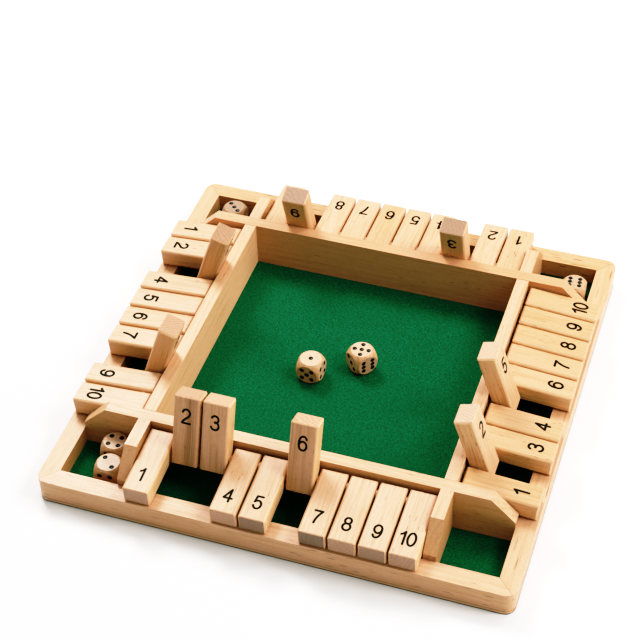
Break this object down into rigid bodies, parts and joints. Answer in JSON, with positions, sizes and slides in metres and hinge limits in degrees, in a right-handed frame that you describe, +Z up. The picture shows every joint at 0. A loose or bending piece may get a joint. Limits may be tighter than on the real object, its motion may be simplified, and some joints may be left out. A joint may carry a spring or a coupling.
{
  "type": "shut the box dice game",
  "caption": "Square wooden dice game tray for four players, with a green felt rolling well, a row of hinged number tiles on each side and dice pockets in the corners.",
  "frame": {"origin": "centre of the tray's flat underside", "axes": "+Z up out of the tray; the front row of tiles faces -Y, the right row +X, the back row +Y and the left row -X"},
  "size_m": [0.3, 0.3, 0.0692],
  "materials": {
    "tray_wood": "satin clear lacquer over pale pine",
    "base_wood": "thin plywood, clear lacquer",
    "tile_wood": "satin clear lacquer, printed black numbers",
    "spacer_wood": "turned wood, unfinished",
    "die_wood": "smooth wood, black pips",
    "green_felt": "short felt",
    "rod_steel": "drawn steel rod"
  },
  "bodies": {
    "tray": {"base_board": "base_wood", "felt_floor": "green_felt", "front_rail": "tray_wood", "right_rail": "tray_wood", "back_rail": "tray_wood", "left_rail": "tray_wood", "front_wall": "tray_wood", "right_wall": "tray_wood", "back_wall": "tray_wood", "left_wall": "tray_wood", "corner_dividers": "tray_wood", "pivot_rods": "rod_steel", "tile_spacers": "spacer_wood"},
    "front_tile_01": {"front_tile_01": "tile_wood"},
    "front_tile_02": {"front_tile_02": "tile_wood"},
    "front_tile_03": {"front_tile_03": "tile_wood"},
    "front_tile_04": {"front_tile_04": "tile_wood"},
    "front_tile_05": {"front_tile_05": "tile_wood"},
    "front_tile_06": {"front_tile_06": "tile_wood"},
    "front_tile_07": {"front_tile_07": "tile_wood"},
    "front_tile_08": {"front_tile_08": "tile_wood"},
    "front_tile_09": {"front_tile_09": "tile_wood"},
    "front_tile_10": {"front_tile_10": "tile_wood"},
    "right_tile_01": {"right_tile_01": "tile_wood"},
    "right_tile_02": {"right_tile_02": "tile_wood"},
    "right_tile_03": {"right_tile_03": "tile_wood"},
    "right_tile_04": {"right_tile_04": "tile_wood"},
    "right_tile_05": {"right_tile_05": "tile_wood"},
    "right_tile_06": {"right_tile_06": "tile_wood"},
    "right_tile_07": {"right_tile_07": "tile_wood"},
    "right_tile_08": {"right_tile_08": "tile_wood"},
    "right_tile_09": {"right_tile_09": "tile_wood"},
    "right_tile_10": {"right_tile_10": "tile_wood"},
    "back_tile_01": {"back_tile_01": "tile_wood"},
    "back_tile_02": {"back_tile_02": "tile_wood"},
    "back_tile_03": {"back_tile_03": "tile_wood"},
    "back_tile_04": {"back_tile_04": "tile_wood"},
    "back_tile_05": {"back_tile_05": "tile_wood"},
    "back_tile_06": {"back_tile_06": "tile_wood"},
    "back_tile_07": {"back_tile_07": "tile_wood"},
    "back_tile_08": {"back_tile_08": "tile_wood"},
    "back_tile_09": {"back_tile_09": "tile_wood"},
    "back_tile_10": {"back_tile_10": "tile_wood"},
    "left_tile_01": {"left_tile_01": "tile_wood"},
    "left_tile_02": {"left_tile_02": "tile_wood"},
    "left_tile_03": {"left_tile_03": "tile_wood"},
    "left_tile_04": {"left_tile_04": "tile_wood"},
    "left_tile_05": {"left_tile_05": "tile_wood"},
    "left_tile_06": {"left_tile_06": "tile_wood"},
    "left_tile_07": {"left_tile_07": "tile_wood"},
    "left_tile_08": {"left_tile_08": "tile_wood"},
    "left_tile_09": {"left_tile_09": "tile_wood"},
    "left_tile_10": {"left_tile_10": "tile_wood"},
    "die_1": {"die_1": "die_wood"},
    "die_2": {"die_2": "die_wood"},
    "die_3": {"die_3": "die_wood"},
    "die_4": {"die_4": "die_wood"},
    "die_5": {"die_5": "die_wood"},
    "die_6": {"die_6": "die_wood"}
  },
  "joints": [
    {"name": "front_tile_01_flip", "type": "hinge", "parent": "tray", "child": "front_tile_01", "pos_m": [-0.0828, -0.1084, 0.0281], "axis": [-1, 0, 0], "range_deg": [0, 112.31]},
    {"name": "front_tile_02_flip", "type": "hinge", "parent": "tray", "child": "front_tile_02", "pos_m": [-0.0644, -0.1084, 0.0281], "axis": [-1, 0, 0], "range_deg": [-112.31, 0]},
    {"name": "front_tile_03_flip", "type": "hinge", "parent": "tray", "child": "front_tile_03", "pos_m": [-0.046, -0.1084, 0.0281], "axis": [-1, 0, 0], "range_deg": [-112.31, 0]},
    {"name": "front_tile_04_flip", "type": "hinge", "parent": "tray", "child": "front_tile_04", "pos_m": [-0.0276, -0.1084, 0.0281], "axis": [-1, 0, 0], "range_deg": [0, 112.31]},
    {"name": "front_tile_05_flip", "type": "hinge", "parent": "tray", "child": "front_tile_05", "pos_m": [-0.0092, -0.1084, 0.0281], "axis": [-1, 0, 0], "range_deg": [0, 112.31]},
    {"name": "front_tile_06_flip", "type": "hinge", "parent": "tray", "child": "front_tile_06", "pos_m": [0.0092, -0.1084, 0.0281], "axis": [-1, 0, 0], "range_deg": [-112.31, 0]},
    {"name": "front_tile_07_flip", "type": "hinge", "parent": "tray", "child": "front_tile_07", "pos_m": [0.0276, -0.1084, 0.0281], "axis": [-1, 0, 0], "range_deg": [0, 112.31]},
    {"name": "front_tile_08_flip", "type": "hinge", "parent": "tray", "child": "front_tile_08", "pos_m": [0.046, -0.1084, 0.0281], "axis": [-1, 0, 0], "range_deg": [0, 112.31]},
    {"name": "front_tile_09_flip", "type": "hinge", "parent": "tray", "child": "front_tile_09", "pos_m": [0.0644, -0.1084, 0.0281], "axis": [-1, 0, 0], "range_deg": [0, 112.31]},
    {"name": "front_tile_10_flip", "type": "hinge", "parent": "tray", "child": "front_tile_10", "pos_m": [0.0828, -0.1084, 0.0281], "axis": [-1, 0, 0], "range_deg": [0, 112.31]},
    {"name": "right_tile_01_flip", "type": "hinge", "parent": "tray", "child": "right_tile_01", "pos_m": [0.1084, -0.0828, 0.0281], "axis": [0, -1, 0], "range_deg": [0, 112.31]},
    {"name": "right_tile_02_flip", "type": "hinge", "parent": "tray", "child": "right_tile_02", "pos_m": [0.1084, -0.0644, 0.0281], "axis": [0, -1, 0], "range_deg": [-112.31, 0]},
    {"name": "right_tile_03_flip", "type": "hinge", "parent": "tray", "child": "right_tile_03", "pos_m": [0.1084, -0.046, 0.0281], "axis": [0, -1, 0], "range_deg": [0, 112.31]},
    {"name": "right_tile_04_flip", "type": "hinge", "parent": "tray", "child": "right_tile_04", "pos_m": [0.1084, -0.0276, 0.0281], "axis": [0, -1, 0], "range_deg": [0, 112.31]},
    {"name": "right_tile_05_flip", "type": "hinge", "parent": "tray", "child": "right_tile_05", "pos_m": [0.1084, -0.0092, 0.0281], "axis": [0, -1, 0], "range_deg": [-112.31, 0]},
    {"name": "right_tile_06_flip", "type": "hinge", "parent": "tray", "child": "right_tile_06", "pos_m": [0.1084, 0.0092, 0.0281], "axis": [0, -1, 0], "range_deg": [0, 112.31]},
    {"name": "right_tile_07_flip", "type": "hinge", "parent": "tray", "child": "right_tile_07", "pos_m": [0.1084, 0.0276, 0.0281], "axis": [0, -1, 0], "range_deg": [0, 112.31]},
    {"name": "right_tile_08_flip", "type": "hinge", "parent": "tray", "child": "right_tile_08", "pos_m": [0.1084, 0.046, 0.0281], "axis": [0, -1, 0], "range_deg": [0, 112.31]},
    {"name": "right_tile_09_flip", "type": "hinge", "parent": "tray", "child": "right_tile_09", "pos_m": [0.1084, 0.0644, 0.0281], "axis": [0, -1, 0], "range_deg": [0, 112.31]},
    {"name": "right_tile_10_flip", "type": "hinge", "parent": "tray", "child": "right_tile_10", "pos_m": [0.1084, 0.0828, 0.0281], "axis": [0, -1, 0], "range_deg": [0, 112.31]},
    {"name": "back_tile_01_flip", "type": "hinge", "parent": "tray", "child": "back_tile_01", "pos_m": [0.0828, 0.1084, 0.0281], "axis": [1, 0, 0], "range_deg": [0, 112.31]},
    {"name": "back_tile_02_flip", "type": "hinge", "parent": "tray", "child": "back_tile_02", "pos_m": [0.0644, 0.1084, 0.0281], "axis": [1, 0, 0], "range_deg": [0, 112.31]},
    {"name": "back_tile_03_flip", "type": "hinge", "parent": "tray", "child": "back_tile_03", "pos_m": [0.046, 0.1084, 0.0281], "axis": [1, 0, 0], "range_deg": [-112.31, 0]},
    {"name": "back_tile_04_flip", "type": "hinge", "parent": "tray", "child": "back_tile_04", "pos_m": [0.0276, 0.1084, 0.0281], "axis": [1, 0, 0], "range_deg": [0, 112.31]},
    {"name": "back_tile_05_flip", "type": "hinge", "parent": "tray", "child": "back_tile_05", "pos_m": [0.0092, 0.1084, 0.0281], "axis": [1, 0, 0], "range_deg": [0, 112.31]},
    {"name": "back_tile_06_flip", "type": "hinge", "parent": "tray", "child": "back_tile_06", "pos_m": [-0.0092, 0.1084, 0.0281], "axis": [1, 0, 0], "range_deg": [0, 112.31]},
    {"name": "back_tile_07_flip", "type": "hinge", "parent": "tray", "child": "back_tile_07", "pos_m": [-0.0276, 0.1084, 0.0281], "axis": [1, 0, 0], "range_deg": [0, 112.31]},
    {"name": "back_tile_08_flip", "type": "hinge", "parent": "tray", "child": "back_tile_08", "pos_m": [-0.046, 0.1084, 0.0281], "axis": [1, 0, 0], "range_deg": [0, 112.31]},
    {"name": "back_tile_09_flip", "type": "hinge", "parent": "tray", "child": "back_tile_09", "pos_m": [-0.0644, 0.1084, 0.0281], "axis": [1, 0, 0], "range_deg": [-112.31, 0]},
    {"name": "back_tile_10_flip", "type": "hinge", "parent": "tray", "child": "back_tile_10", "pos_m": [-0.0828, 0.1084, 0.0281], "axis": [1, 0, 0], "range_deg": [0, 112.31]},
    {"name": "left_tile_01_flip", "type": "hinge", "parent": "tray", "child": "left_tile_01", "pos_m": [-0.1084, 0.0828, 0.0281], "axis": [0, 1, 0], "range_deg": [0, 112.31]},
    {"name": "left_tile_02_flip", "type": "hinge", "parent": "tray", "child": "left_tile_02", "pos_m": [-0.1084, 0.0644, 0.0281], "axis": [0, 1, 0], "range_deg": [0, 112.31]},
    {"name": "left_tile_03_flip", "type": "hinge", "parent": "tray", "child": "left_tile_03", "pos_m": [-0.1084, 0.046, 0.0281], "axis": [0, 1, 0], "range_deg": [-112.31, 0]},
    {"name": "left_tile_04_flip", "type": "hinge", "parent": "tray", "child": "left_tile_04", "pos_m": [-0.1084, 0.0276, 0.0281], "axis": [0, 1, 0], "range_deg": [0, 112.31]},
    {"name": "left_tile_05_flip", "type": "hinge", "parent": "tray", "child": "left_tile_05", "pos_m": [-0.1084, 0.0092, 0.0281], "axis": [0, 1, 0], "range_deg": [0, 112.31]},
    {"name": "left_tile_06_flip", "type": "hinge", "parent": "tray", "child": "left_tile_06", "pos_m": [-0.1084, -0.0092, 0.0281], "axis": [0, 1, 0], "range_deg": [0, 112.31]},
    {"name": "left_tile_07_flip", "type": "hinge", "parent": "tray", "child": "left_tile_07", "pos_m": [-0.1084, -0.0276, 0.0281], "axis": [0, 1, 0], "range_deg": [0, 112.31]},
    {"name": "left_tile_08_flip", "type": "hinge", "parent": "tray", "child": "left_tile_08", "pos_m": [-0.1084, -0.046, 0.0281], "axis": [0, 1, 0], "range_deg": [-112.31, 0]},
    {"name": "left_tile_09_flip", "type": "hinge", "parent": "tray", "child": "left_tile_09", "pos_m": [-0.1084, -0.0644, 0.0281], "axis": [0, 1, 0], "range_deg": [0, 112.31]},
    {"name": "left_tile_10_flip", "type": "hinge", "parent": "tray", "child": "left_tile_10", "pos_m": [-0.1084, -0.0828, 0.0281], "axis": [0, 1, 0], "range_deg": [0, 112.31]},
    {"name": "die_1_lift", "type": "slide", "parent": "tray", "child": "die_1", "axis": [0, 0, 1], "range_m": [0, 0.05]},
    {"name": "die_2_lift", "type": "slide", "parent": "tray", "child": "die_2", "axis": [0, 0, 1], "range_m": [0, 0.05]},
    {"name": "die_3_lift", "type": "slide", "parent": "tray", "child": "die_3", "axis": [0, 0, 1], "range_m": [0, 0.05]},
    {"name": "die_4_lift", "type": "slide", "parent": "tray", "child": "die_4", "axis": [0, 0, 1], "range_m": [0, 0.05]},
    {"name": "die_5_lift", "type": "slide", "parent": "tray", "child": "die_5", "axis": [0, 0, 1], "range_m": [0, 0.05]},
    {"name": "die_6_lift", "type": "slide", "parent": "tray", "child": "die_6", "axis": [0, 0, 1], "range_m": [0, 0.05]}
  ]
}
